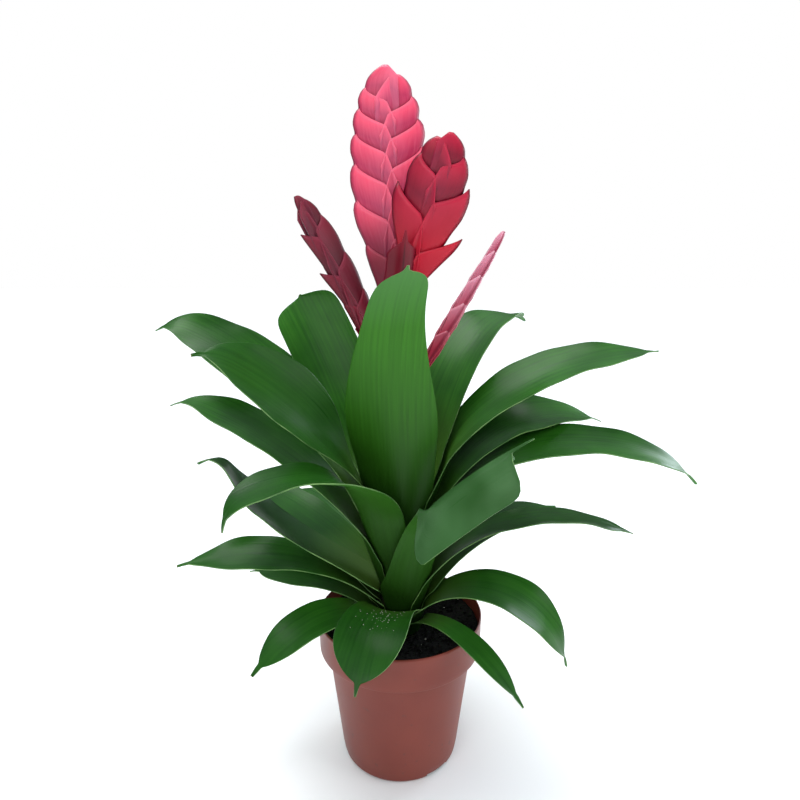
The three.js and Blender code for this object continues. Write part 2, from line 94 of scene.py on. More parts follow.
def new_material(name):
    """An empty material and its node tree."""
    material = bpy.data.materials.new(name)
    material.use_nodes = True
    material.node_tree.nodes.clear()
    return material, material.node_tree


def set_surface(tree, sockets):
    """The material's shader with its sockets set or linked, joined to the output."""
    shader = add(tree, "ShaderNodeBsdfPrincipled", sockets)
    add(tree, "ShaderNodeOutputMaterial", {"Surface": shader.outputs["BSDF"]})


def paint(tree, colour, layers):
    """Output of a ground colour under layers of colour. A layer is (value, bare, full, most, over): its
    colour over covers nothing where value is bare, and the share most of what is below where it is full."""
    for value, bare, full, most, over in layers:
        cover = add(tree, "ShaderNodeMapRange", {0: value, 1: bare, 2: full, 3: 0.0, 4: most}).outputs[0]
        over = linear(over) if isinstance(over, str) else over
        colour = add(tree, "ShaderNodeMix", {0: cover, 6: colour, 7: over}, data_type="RGBA").outputs[2]
    return colour


def on_blade(tree, uv_map):
    """Outputs of the places across and along a blade on one of its UV maps."""
    place = add(tree, "ShaderNodeUVMap", uv_map=uv_map).outputs[0]
    return add(tree, "ShaderNodeSeparateXYZ", {0: place}).outputs


def streaks(tree, width, length, apart):
    """Output of streaks that run along a blade, of a width and a length in millimetres. apart tells the
    streaks of one blade from another's."""
    size = on_blade(tree, "size")
    across = add(tree, "ShaderNodeMath", {0: size[0], 1: MAP_SPAN / width}, operation="MULTIPLY").outputs[0]
    along = add(tree, "ShaderNodeMath", {0: size[1], 1: MAP_SPAN / length}, operation="MULTIPLY").outputs[0]
    place = add(tree, "ShaderNodeCombineXYZ", {0: across, 1: along, 2: apart}).outputs[0]
    return add(tree, "ShaderNodeTexNoise", {"Vector": place, "Scale": 1.0, "Detail": 2.0}).outputs[0]


def grid(columns, rows):
    """A bmesh grid from -0.5 to 0.5, with a UV map 'leaf' from 0 to 1 over it and an empty map 'size'."""
    shape = bmesh.new()
    shape.loops.layers.uv.new("leaf")
    bmesh.ops.create_grid(shape, x_segments=columns, y_segments=rows, size=0.5, calc_uvs=True)
    shape.loops.layers.uv.new("size")
    return shape


def measure(shape, place_at):
    """Fills the map 'size'. place_at turns a place on the map 'leaf' to millimetres across and along."""
    leaf_map = shape.loops.layers.uv["leaf"]
    size_map = shape.loops.layers.uv["size"]
    for face in shape.faces:
        for loop in face.loops:
            across, along = place_at(*loop[leaf_map].uv)
            loop[size_map].uv = (across / MAP_SPAN, along / MAP_SPAN)


def add_rod(shape, low, high, low_radius, high_radius, sides):
    """Adds a round rod with capped ends, from low to high, to a bmesh."""
    axis = high - low
    aim = axis.to_track_quat("Z", "Y").to_matrix().to_4x4()
    bmesh.ops.create_cone(shape, cap_ends=True, segments=sides, radius1=low_radius * MM,
                          radius2=high_radius * MM, depth=axis.length * MM,
                          matrix=Matrix.Translation((low + high) / 2 * MM) @ aim)


def spun(profile, sides):
    """A bmesh of a profile of (radius, height) points, spun about the Z axis."""
    shape = bmesh.new()
    points = [shape.verts.new((radius * MM, 0, height * MM)) for radius, height in profile]
    edges = [shape.edges.new(pair) for pair in zip(points, points[1:])]
    bmesh.ops.spin(shape, geom=points + edges, cent=(0, 0, 0), axis=(0, 0, 1), angle=2 * math.pi, steps=sides,
                   use_merge=True)
    bmesh.ops.remove_doubles(shape, verts=shape.verts, dist=1e-6)
    return shape


def finish_piece(name, shape, materials, nodes, smooth_faces=True):
    """The bmesh as a scene piece that rides on the plant and stands for the given nodes."""
    mesh = bpy.data.meshes.new(name)
    shape.to_mesh(mesh)
    shape.free()
    for polygon in mesh.polygons:
        polygon.use_smooth = smooth_faces
    for material in materials:
        mesh.materials.append(material)
    piece = bpy.data.objects.new(name, mesh)
    bpy.context.scene.collection.objects.link(piece)
    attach(piece, "root")
    if nodes:
        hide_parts(*nodes)
    return piece


def thicken(piece, thickness, offset=0):
    """Gives bare faces a wall: half of it on either side, or all of it inside at an offset of -1."""
    wall = piece.modifiers.new("wall", "SOLIDIFY")
    wall.thickness = thickness * MM
    wall.offset = offset
    return wall


# ------------------------------------------------------------------ camera
camera_data = bpy.data.cameras.new("camera")
camera = bpy.data.objects.new("camera", camera_data)
camera.location = (0.0, -0.412, 0.371)
camera.rotation_euler = (math.radians(90 - 13.4), 0.0, 0.0)
camera_data.sensor_width = 36
camera_data.lens = 27.9
camera_data.clip_start = 0.01
bpy.context.scene.collection.objects.link(camera)
bpy.context.scene.camera = camera


# ------------------------------------------------------------------ finishes
VEIN_SPACING, VEIN_LENGTH = 1.613, 62.5
PLEAT_SPACING, PLEAT_LENGTH = 1.1765, 20
SCAR_SPACING = 6.28
WAVE_SHARE = math.pi / 10  # a wave texture's bands follow each other at this share of its feature width


def leaf_upper_side():
    """Waxy upper side of a bromeliad leaf: dark green with fine veins about 1.6 mm apart and lighter clouds,
    yellower at the sheath and brown at the very tip, under a smooth cuticle that mirrors the light broadly.
    A leaf of tone 0 is darker, and a pale grey painted sheen, with some dust, lies where the attribute pale
    says so."""
    material, tree = new_material("leaf_upper_cuticle")
    along = on_blade(tree, "leaf")[1]
    place = add(tree, "ShaderNodeTexCoord").outputs["Object"]
    tone = add(tree, "ShaderNodeAttribute", attribute_name="tone").outputs["Fac"]
    pale = add(tree, "ShaderNodeAttribute", attribute_name="pale").outputs["Fac"]
    # The tone also keeps the veins of most leaves from being alike.
    apart = add(tree, "ShaderNodeMath", {0: tone, 1: 31.0}, operation="MULTIPLY").outputs[0]
    veins = streaks(tree, VEIN_SPACING, VEIN_LENGTH, apart)
    cloud = add(tree, "ShaderNodeTexNoise",
                {"Vector": place, "Scale": per_metre(38.5), "Detail": 2.0}).outputs[0]
    green = add(tree, "ShaderNodeValToRGB", {0: veins}, [(0.3, "#19480d"), (0.7, "#215711")]).outputs[0]
    light = add(tree, "ShaderNodeValToRGB", {0: veins}, [(0.3, "#2a6619"), (0.7, "#38781f")]).outputs[0]
    painted_sheen_and_dust = add(tree, "ShaderNodeValToRGB", {0: cloud}, [(0.35, "#244d1d"), (0.65, "#3f673a")]).outputs[0]
    colour = paint(tree, green, [
        (cloud, 0.3, 0.75, 1.0, light),
        (tone, 1.0, 0.0, 0.75, "#10330f"),
        (along, 0.34, 0.05, 0.7, "#4d6e1c"),
        (along, 0.985, 1.0, 1.0, "#7a6f45"),
        # Painted sheen, with some dust: pale grey past the crease of the folded leaf.
        (pale, 0.0, 1.0, 1.0, painted_sheen_and_dust),
    ])
    satin = add(tree, "ShaderNodeMapRange", {0: veins, 1: 0.2, 2: 0.8, 3: 0.26, 4: 0.38}).outputs[0]
    dull_sheath = add(tree, "ShaderNodeMapRange", {0: along, 1: 0.42, 2: 0.12, 3: 0.0, 4: 0.35}).outputs[0]
    roughness = add(tree, "ShaderNodeMath", {0: satin, 1: dull_sheath}, operation="ADD").outputs[0]
    relief = add(tree, "ShaderNodeBump", {"Height": veins, "Strength": 0.25, "Distance": 0.4 * MM}).outputs[0]
    set_surface(tree, {"Base Color": colour, "Roughness": roughness, "Normal": relief, "IOR": 1.42,
                       "Specular IOR Level": 0.17})
    return material


def leaf_under_side():
    """Under side of the leaf: less glossy, with the same veins, paler at the tip, darkened towards the sheath
    by painted shade, and a thin grey painted sheen, with some dust, where the attribute pale says so."""
    material, tree = new_material("leaf_under_painted_shade_and_sheen")
    along = on_blade(tree, "leaf")[1]
    place = add(tree, "ShaderNodeTexCoord").outputs["Object"]
    pale = add(tree, "ShaderNodeAttribute", attribute_name="pale").outputs["Fac"]
    veins = streaks(tree, VEIN_SPACING, VEIN_LENGTH, 3.0)
    cloud = add(tree, "ShaderNodeTexNoise",
                {"Vector": place, "Scale": per_metre(33.3), "Detail": 3.0}).outputs[0]
    green = add(tree, "ShaderNodeValToRGB", {0: veins}, [(0.3, "#2a620e"), (0.7, "#357218")]).outputs[0]
    painted_sheen_and_dust = add(tree, "ShaderNodeValToRGB", {0: cloud}, [(0.35, "#486f45"), (0.65, "#6c9169")]).outputs[0]
    colour = paint(tree, green, [
        # Painted sheen, with some dust: pale grey past the crease of the folded leaf.
        (pale, 0.0, 1.0, 1.0, painted_sheen_and_dust),
        (along, 0.72, 0.98, 0.5, "#5b8d56"),
        # Painted shade: the sheath darkens to near black where the leaves around it shade it.
        (along, 0.66, 0.05, 0.95, "#163306"),
    ])
    roughness = add(tree, "ShaderNodeMapRange", {0: veins, 1: 0.2, 2: 0.8, 3: 0.42, 4: 0.55}).outputs[0]
    relief = add(tree, "ShaderNodeBump", {"Height": veins, "Strength": 0.25, "Distance": 0.4 * MM}).outputs[0]
    set_surface(tree, {"Base Color": colour, "Roughness": roughness, "Normal": relief,
                       "Specular IOR Level": 0.2})
    return material


def leaf_margin():
    """The cut edge of the blade, where thin colourless tissue lets light through: a pale green line."""
    material, tree = new_material("leaf_margin_tissue")
    place = add(tree, "ShaderNodeTexCoord").outputs["Object"]
    patches = add(tree, "ShaderNodeTexNoise", {"Vector": place, "Scale": per_metre(11.1)}).outputs[0]
    colour = add(tree, "ShaderNodeValToRGB", {0: patches}, [(0.35, "#3c682a"), (0.65, "#6d9350")]).outputs[0]
    set_surface(tree, {"Base Color": colour, "Roughness": 0.45})
    return material


# Colours of each kind of bract: at its foot, partly its own darker colour and partly painted shade where the
# bract below overlaps it; on its face; at its free margin, partly its own paler edge and partly a painted
# highlight; on its keel; and the painted sheen, a cool painted reflection, on the middle of the spike's face.
# low comes in from the first height of fade to the second, in millimetres, and covers three quarters below
# that.
BRACT_COLOURS = {
    "rose_bract": dict(foot="#b83358", face="#ff5674", margin="#ff8da6", keel="#6d1a36", painted_sheen="#d78cab",
                       low="#5a0519", fade=(400, 365)),
    "crimson_bract": dict(foot="#7a1029", face="#b8203c", margin="#cf2c4a", keel="#43071a", painted_sheen="#933050",
                          low="#c9182f", fade=(405, 375)),
    "burgundy_bract": dict(foot="#560e1f", face="#7b1a2e", margin="#933a4e", keel="#35070f", painted_sheen="#86465a",
                           low="#861428", fade=(360, 300)),
    "pink_bract": dict(foot="#b04a66", face="#d98aa2", margin="#f0d2da", keel="#7f1730", painted_sheen="#dcb0be",
                       low="#b51c38", fade=(355, 310)),
    "stalk_bract": dict(foot="#6b0b1f", face="#8a0f26", margin="#8c2338", keel="#33060f", painted_sheen="#7a142c",
                        low="#7a1024", fade=(300, 280)),
}


def bract_wax(kind):
    """Waxy flower bract: its colour runs from a dark foot, partly painted shade where the bract below
    overlaps it, to a light free margin, partly a painted highlight, with a dark line on the keel, a painted
    cool sheen towards the middle of the spike's face, and faint pleats about 1.2 mm apart."""
    colours = BRACT_COLOURS[kind]
    fade_from, fade_to = colours["fade"]
    material, tree = new_material(kind + "_wax")
    share = on_blade(tree, "leaf")
    centred = add(tree, "ShaderNodeMath", {0: share[0], 1: 0.5}, operation="SUBTRACT").outputs[0]
    doubled = add(tree, "ShaderNodeMath", {0: centred, 1: 2.0}, operation="MULTIPLY").outputs[0]
    off_keel = add(tree, "ShaderNodeMath", {0: doubled}, operation="ABSOLUTE").outputs[0]
    pleats = streaks(tree, PLEAT_SPACING, PLEAT_LENGTH, 0.0)
    place = add(tree, "ShaderNodeTexCoord").outputs["Object"]
    height = add(tree, "ShaderNodeSeparateXYZ", {0: place}).outputs[2]
    cloud = add(tree, "ShaderNodeTexNoise",
                {"Vector": place, "Scale": per_metre(16.67), "Detail": 2.0}).outputs[0]
    colour = paint(tree, linear(colours["foot"]), [
        # The dark foot below the face is partly painted shade under the overlapping bract below.
        (share[1], 0.66, 0.97, 1.0, colours["face"]),
        (cloud, 0.4, 0.8, 0.35, colours["foot"]),
        # Painted sheen: a cool painted reflection towards the middle of the spike's face.
        (off_keel, 0.3, 0.95, 0.24, colours["painted_sheen"]),
        (pleats, 0.4, 0.75, 0.12, colours["margin"]),
        # The light free margin is partly a painted highlight.
        (share[1], 0.94, 1.0, 0.25, colours["margin"]),
        (height, fade_from * MM, fade_to * MM, 0.75, colours["low"]),
        (off_keel, 0.09, 0.0, 0.8, colours["keel"]),
    ])
    roughness = add(tree, "ShaderNodeMapRange", {0: pleats, 1: 0.2, 2: 0.8, 3: 0.3, 4: 0.45}).outputs[0]
    relief = add(tree, "ShaderNodeBump",
                 {"Height": pleats, "Strength": 0.25, "Distance": 0.3 * MM}).outputs[0]
    set_surface(tree, {"Base Color": colour, "Roughness": roughness, "Normal": relief,
                       "Subsurface Weight": 0.08, "Subsurface Radius": (2 * MM, 0.6 * MM, 0.5 * MM),
                       "Specular IOR Level": 0.25})
    return material


def moulded_pot_plastic():
    """Thin injection-moulded polypropylene, terracotta coloured: satin, slightly uneven, with dust specks."""
    material, tree = new_material("moulded_terracotta_polypropylene")
    place = add(tree, "ShaderNodeTexCoord").outputs["Object"]
    cloud = add(tree, "ShaderNodeTexNoise",
                {"Vector": place, "Scale": per_metre(55.6), "Detail": 4.0}).outputs[0]
    specks = add(tree, "ShaderNodeTexNoise",
                 {"Vector": place, "Scale": per_metre(4.76), "Detail": 1.0}).outputs[0]
    grain = add(tree, "ShaderNodeTexNoise",
                {"Vector": place, "Scale": per_metre(1.43), "Detail": 2.0}).outputs[0]
    clay = add(tree, "ShaderNodeValToRGB", {0: cloud}, [(0.3, "#702c21"), (0.7, "#7e382b")]).outputs[0]
    colour = paint(tree, clay, [(specks, 0.7, 0.76, 0.5, "#5c342d")])
    roughness = add(tree, "ShaderNodeMapRange", {0: cloud, 1: 0.3, 2: 0.7, 3: 0.36, 4: 0.5}).outputs[0]
    relief = add(tree, "ShaderNodeBump", {"Height": grain, "Strength": 0.15, "Distance": 0.2 * MM}).outputs[0]
    set_surface(tree, {"Base Color": colour, "Roughness": roughness, "Normal": relief,
                       "Specular IOR Level": 0.35})
    return material


def peat_mix():
    """Moist peat and bark: near black crumbs from 1 to 4 mm, matt."""
    material, tree = new_material("moist_peat_mix")
    place = add(tree, "ShaderNodeTexCoord").outputs["Object"]
    crumbs = add(tree, "ShaderNodeTexVoronoi", {"Vector": place, "Scale": per_metre(2.38)}).outputs[0]
    cloud = add(tree, "ShaderNodeTexNoise",
                {"Vector": place, "Scale": per_metre(4.17), "Detail": 5.0}).outputs[0]
    colour = add(tree, "ShaderNodeValToRGB", {0: cloud},
                 [(0.35, "#040403"), (0.62, "#0d0b09"), (0.8, "#2a2119")]).outputs[0]
    relief = add(tree, "ShaderNodeBump", {"Height": crumbs, "Strength": 0.7, "Distance": 1.2 * MM}).outputs[0]
    set_surface(tree, {"Base Color": colour, "Roughness": 0.9, "Normal": relief, "Specular IOR Level": 0.2})
    return material


def perlite_grain():
    """Expanded perlite: off-white, matt and pitted."""
    material, tree = new_material("expanded_perlite")
    place = add(tree, "ShaderNodeTexCoord").outputs["Object"]
    pits = add(tree, "ShaderNodeTexNoise",
               {"Vector": place, "Scale": per_metre(1.11), "Detail": 3.0}).outputs[0]
    colour = add(tree, "ShaderNodeValToRGB", {0: pits}, [(0.3, "#8f8b80"), (0.6, "#d9d6cc")]).outputs[0]
    set_surface(tree, {"Base Color": colour, "Roughness": 0.85})
    return material


def stem_skin():
    """Short stem under the leaf bases: dull brown-green with level leaf scars about 6 mm apart."""
    material, tree = new_material("scarred_stem_skin")
    place = add(tree, "ShaderNodeTexCoord").outputs["Object"]
    scale = WAVE_SHARE * per_metre(SCAR_SPACING)
    rings = add(tree, "ShaderNodeTexWave", {"Vector": place, "Scale": scale, "Distortion": 3.0},
                bands_direction="Z").outputs["Fac"]
    colour = add(tree, "ShaderNodeValToRGB", {0: rings}, [(0.2, "#1d2410"), (0.8, "#3a4420")]).outputs[0]
    set_surface(tree, {"Base Color": colour, "Roughness": 0.75})
    return material


# ------------------------------------------------------------------ leaves
STEM_RADIUS = 14
CLEARANCE = 0.3  # between a sheath and the stem
LEAF_THICKNESS = 0.7
FACET_SAG = 0.25  # room for the flats of the faceted solids
SHEATH_SLOPE = 72
OPENING = 45  # length over which a leaf opens from its sheath to its blade
SWING_SPAN = 70  # length over which a leaf turns from its foot's heading to its own
NECK_AT = 0.25  # where the neck lies, as a share of the length
SHOULDER = 0.62  # where the blade is broadest and its end begins, as a share of the length
CUSP_HALF_WIDTH = 1.8
TIP_HALF_WIDTH = 0.5
FOLD_START, FOLD_END = 0.54, 0.6  # where a folded leaf's near half creases over, as shares of the length
LEAF_STEPS = 84
LEAF_COLUMNS = 16

# azimuth: where the leaf points; swing: how far its foot is turned from that; base: height of its foot; hold:
# length of the upright sheath; tip: slope at the tip; bend: how late it bends; lift, curl: extra slope over
# the outer part and at the very end; wrap: half-angle of the sheath; root, neck: breadth of the sheath and of
# the neck as shares of the blade's; cup: radius of the channel; shift: sideways carry of the tip; twist: roll
# of the blade; blunt: how square the end is; taper: how much narrower the upper half is; cusp: length of the
# drip tip; skew: slant of the end; fold: how far the near half is creased over; drop: how far the creased
# flap is drawn back; ripple: waves of the margin; tone: 0 dark to 1 light; pale: a grey painted sheen, with
# some dust, past the crease.
PLAIN_LEAF = dict(swing=0, lift=0, curl=0, wrap=58, root=1.05, neck=0.85, cup=70, shift=0, twist=0, blunt=2.4,
                  taper=0, cusp=7, skew=0, fold=0, drop=0, ripple=0.8, tone=0.5, pale=0)
LEAVES = {
    "leaf_front_right_low": dict(azimuth=314, base=100, length=114, width=18, hold=12, tip=-42, bend=0.4,
                                 root=1.4, tone=0.55, ripple=0.3),
    "leaf_back_low": dict(azimuth=75, base=101, length=150, width=38, hold=6, tip=-20, bend=0.6, tone=0.4),
    "leaf_front_left_low": dict(azimuth=213, base=103, length=118, width=32, hold=6, tip=-46, bend=0.6,
                                twist=-10, tone=0.5, ripple=1.0),
    "leaf_right_low": dict(azimuth=342, base=104.5, length=150, width=38, hold=10, tip=-80, bend=0.85,
                           wrap=58.5, twist=12, tone=0.6, ripple=1.2),
    "leaf_left_low_under": dict(azimuth=172, base=107, length=112, width=38, hold=4, tip=-14, bend=0.5,
                                wrap=53, twist=-10, tone=0.35, ripple=1.0),
    "leaf_back_left_low": dict(azimuth=129, base=111.5, length=165, width=40, hold=4, tip=-10, bend=0.5,
                               wrap=50, tone=0.4),
    "leaf_front_low": dict(azimuth=253, base=110.5, length=98, width=48, hold=6, tip=-56, bend=0.7,
                           wrap=60, tone=0.3, ripple=0.6),
    "leaf_back_right_low": dict(azimuth=25, base=112, length=150, width=38, hold=10, tip=-10, bend=0.65,
                                wrap=32, tone=0.4),
    "leaf_left_low": dict(azimuth=188, base=115, length=160, width=36, hold=6, tip=-14, bend=0.55, wrap=44,
                          twist=-12, tone=0.55, ripple=1.6),
    "leaf_right_lower": dict(azimuth=355, base=115.5, length=186, width=36, hold=27, tip=-22, bend=0.7,
                             twist=-4, tone=0.6, ripple=1.2),
    "leaf_back_lower": dict(azimuth=101, base=119, length=175, width=44, hold=2, tip=-14, bend=0.5,
                            wrap=29, tone=0.4),
    "leaf_back_left_mid": dict(azimuth=152, base=121.5, length=160, width=44, hold=4, tip=7.5, bend=0.38,
                               blunt=5, tone=0.3, ripple=1.4),
    "leaf_left_mid_dark": dict(azimuth=187, base=128, length=168, width=42, hold=4, tip=24, bend=0.2,
                               wrap=38, lift=40, curl=-90, tone=0.1, ripple=1.5),
    "leaf_front_right_fold": dict(azimuth=352, base=119.5, length=185, width=54, hold=75, tip=30, bend=0.5,
                                  wrap=56, twist=-40, blunt=30, neck=0.6, cusp=16, swing=-65, fold=120,
                                  drop=38, tone=0.4, pale=1.0, ripple=0.3),
    "leaf_left_mid": dict(azimuth=176, base=137, length=212, width=46, hold=40, tip=19, bend=0.55,
                          twist=-12, curl=-40, tone=0.6, ripple=1.2),
    "leaf_back_right_mid": dict(azimuth=50, base=138, length=190, width=46, hold=20, tip=-5, bend=0.9,
                                tone=0.45),
    "leaf_right_long": dict(azimuth=352, base=143, length=246, width=50, hold=57, tip=-28, bend=0.65,
                            wrap=68, twist=8, curl=-20, tone=0.6, ripple=1.0),
    "leaf_front_left_arch": dict(azimuth=214, base=146.5, length=190, width=46, hold=55, tip=-30, bend=0.8,
                                 wrap=53, curl=-50, cup=60, swing=26, tone=0.3, ripple=1.0),
    "leaf_right_mid": dict(azimuth=12, base=152, length=200, width=48, hold=61, tip=-24, bend=0.82,
                           wrap=40, twist=15, tone=0.65, ripple=1.4),
    "leaf_back_mid": dict(azimuth=92, base=155, length=170, width=48, hold=10, tip=30, bend=0.6, wrap=30,
                          tone=0.4),
    "leaf_left_top": dict(azimuth=165, base=160, length=252, width=48, hold=12, tip=14, bend=1.0,
                          twist=-34, curl=-40, neck=0.6, tone=0.6, ripple=1.6),
    "leaf_left_upper": dict(azimuth=204, base=170, length=196, width=54, hold=34, tip=27, bend=0.9,
                            twist=-45, curl=-30, neck=0.51, tone=0.35, ripple=1.2),
    "leaf_right_top": dict(azimuth=7, base=174, length=236, width=46, hold=62, tip=-2, bend=0.6, wrap=50,
                           twist=16, tone=0.75, ripple=1.0),
    "leaf_back_left_top": dict(azimuth=144, base=180, length=179, width=50, hold=40, tip=54, bend=0.8,
                               twist=-50, wrap=44, blunt=14, neck=0.6, cusp=1.5, tone=0.85, ripple=1.6),
    "leaf_back_right_top": dict(azimuth=47, base=185, length=222, width=50, hold=50, tip=-28, bend=1.6,
                                wrap=44, tone=0.75, ripple=1.0),
    "leaf_front_upright": dict(azimuth=261, base=178, length=193, width=61, hold=60, tip=80, bend=1,
                               wrap=64, blunt=17, shift=15, taper=0.45, cusp=3, neck=1, skew=3,
                               tone=0.6, ripple=0.4),
}
LEAVES = {name: {**PLAIN_LEAF, **row} for name, row in LEAVES.items()}


def half_width(leaf, t):
    """Half the breadth of a leaf at the share t of its length."""
    root, neck = leaf["root"], leaf["neck"]
    breadth = root + (neck - root) * smooth(t, 0, NECK_AT) + (1 - neck) * smooth(t, NECK_AT, SHOULDER)
    taper = 1 - leaf["taper"] * smooth(t, 0.45, 0.95)
    cusp_start = 1 - leaf["cusp"] / leaf["length"]
    past_shoulder = clamp((t / cusp_start - SHOULDER) / (1 - SHOULDER))
    end = (1 - past_shoulder ** leaf["blunt"]) ** 0.8
    cusp = lerp(CUSP_HALF_WIDTH, TIP_HALF_WIDTH, max(0.0, (t - cusp_start) / (1 - cusp_start)))
    return max(cusp, 0.5 * leaf["width"] * breadth * taper * end)


def leaf_line(leaf, start, start_slope, steps):
    """Centre line of a leaf that starts at the radius start: share of its length, slope, heading and point
    at each step from the foot. The steps close up towards the tip, where the outline bends most."""
    length, hold = leaf["length"], leaf["hold"]
    foot = math.radians(leaf["azimuth"] + leaf["swing"])
    point = Vector((start * math.cos(foot), start * math.sin(foot), leaf["base"]))
    line, before = [], 0.0
    for step in range(steps + 1):
        t = 1 - (1 - step / steps) ** 1.3
        turned = leaf["swing"] * (1 - smooth(t * length, hold, hold + SWING_SPAN))
        azimuth = math.radians(leaf["azimuth"] + turned)
        outward = Vector((math.cos(azimuth), math.sin(azimuth), 0))
        sideways = Vector((-outward.y, outward.x, 0))
        bent = max(0.0, (t * length - hold) / (length - hold)) ** leaf["bend"]
        extra = leaf["lift"] * smooth(t, 0.3, 1) + leaf["curl"] * smooth(t, 0.86, 1)
        slope = math.radians(lerp(start_slope, leaf["tip"], bent) + extra)
        point = point + outward * ((t - before) * length * math.cos(slope))
        point = point + sideways * (leaf["shift"] * (t ** 6 - before ** 6))
        point.z += (t - before) * length * math.sin(slope)
        before = t
        line.append((t, slope, outward, point.copy()))
    return line


def blade_line(leaf):
    """Centre line of a leaf whose sheath lies against the stem."""
    start = STEM_RADIUS + CLEARANCE + LEAF_THICKNESS / 2 + FACET_SAG
    return leaf_line(leaf, start, SHEATH_SLOPE, LEAF_STEPS)


def across_leaf(leaf, station, u):
    """Point of the leaf at u from -1 (left edge) to 1 (right edge) on one station of its centre line."""
    t, slope, outward, point = station
    along = t * leaf["length"]
    opened = smooth(along, leaf["hold"], leaf["hold"] + OPENING)
    lean = opened * (math.pi / 2 - slope)
    up = outward * -math.cos(lean) + Vector((0, 0, math.sin(lean)))
    side = Vector((-outward.y, outward.x, 0))
    direction = outward * math.cos(slope) + Vector((0, 0, math.sin(slope)))
    roll = Matrix.Rotation(math.radians(leaf["twist"]) * smooth(t, 0.12, 0.6), 3, direction)
    side, up = roll @ side, roll @ up
    radius = lerp(math.hypot(point.x, point.y), leaf["cup"], opened)
    angle = min(half_width(leaf, t) / radius, math.radians(leaf["wrap"])) * u
    folded = leaf["fold"] and u < 0
    if folded:
        pinched = smooth(t, 0.2, 0.52) * (1 - smooth(t, 0.58, 0.64))
        angle *= 1 - 0.8 * pinched
    place = point + side * (radius * math.sin(angle)) + up * (radius * (1 - math.cos(angle)))
    # A long and a short wave run along each margin, out of step with those of the other leaves.
    wave = math.sin(along / 11 + 1.7 * u + leaf["azimuth"])
    wave += 0.6 * math.sin(along / 5.3 + leaf["base"] - 2 * u)
    place += up * (leaf["ripple"] * wave * u * u * smooth(t, 0.35, 0.7) * 0.6)
    squareness = min(1.0, half_width(leaf, t) / (0.3 * leaf["width"]))
    place += direction * (leaf["skew"] * u * smooth(t, 0.6, 0.9) * squareness)
    if folded:
        hanging = smooth(t, FOLD_START, FOLD_END + 0.02) * (1 - smooth(t, FOLD_END, 0.95))
        place -= direction * (leaf["drop"] * hanging * -u)
        creased = math.radians(leaf["fold"]) * smooth(t, FOLD_START, FOLD_END)
        place = point + Matrix.Rotation(creased, 3, direction) @ (place - point)
    return place


def leaf_piece(name, leaf, materials):
    """One leaf blade. Its outermost columns are narrow, so that the margin stays crisp."""
    line = blade_line(leaf)
    inner = [lerp(-0.975, 0.975, i / (LEAF_COLUMNS - 2)) for i in range(LEAF_COLUMNS - 1)]
    places = [-1.0] + inner + [1.0]
    shape = grid(LEAF_COLUMNS, LEAF_STEPS)
    pales = []
    for vertex in shape.verts:
        column = round((vertex.co.x + 0.5) * LEAF_COLUMNS)
        station = line[round((vertex.co.y + 0.5) * LEAF_STEPS)]
        pales.append(leaf["pale"] * smooth(station[0], FOLD_START - 0.06, FOLD_START))
        vertex.co = across_leaf(leaf, station, -places[column]) * MM

    def place_at(u, v):
        t = line[round(v * LEAF_STEPS)][0]
        return places[round(u * LEAF_COLUMNS)] * half_width(leaf, t), t * leaf["length"]

    measure(shape, place_at)
    piece = finish_piece(name + "_blade", shape, materials, [name])
    for attribute, values in (("tone", [leaf["tone"]] * len(pales)), ("pale", pales)):
        piece.data.attributes.new(attribute, "FLOAT", "POINT").data.foreach_set("value", values)
    wall = thicken(piece, LEAF_THICKNESS)
    wall.material_offset = 1
    wall.material_offset_rim = 2


leaf_materials = [leaf_upper_side(), leaf_under_side(), leaf_margin()]
for leaf_name, leaf_row in LEAVES.items():
    leaf_piece(leaf_name, leaf_row, leaf_materials)


# ------------------------------------------------------------------ flower spikes
BRACT_THICKNESS = 0.7
BRACT_COLUMNS = 28
BRACT_ROWS = 20
KEEL_HALF = 0.5  # half-thickness of a bract on its keel
ROOT_HALF = 1.5  # half-depth where it leaves the rod
LIP = 0.35  # how far its free margin stands off
OVERLAP = 0.2  # how far it reaches past the middle of the face, as a share of the spike's reach
CROWN = 0.95  # tips above this share of the flat part close the spike's round end
ROD_RADIUS = 2.4
ROD_SIDES = 20

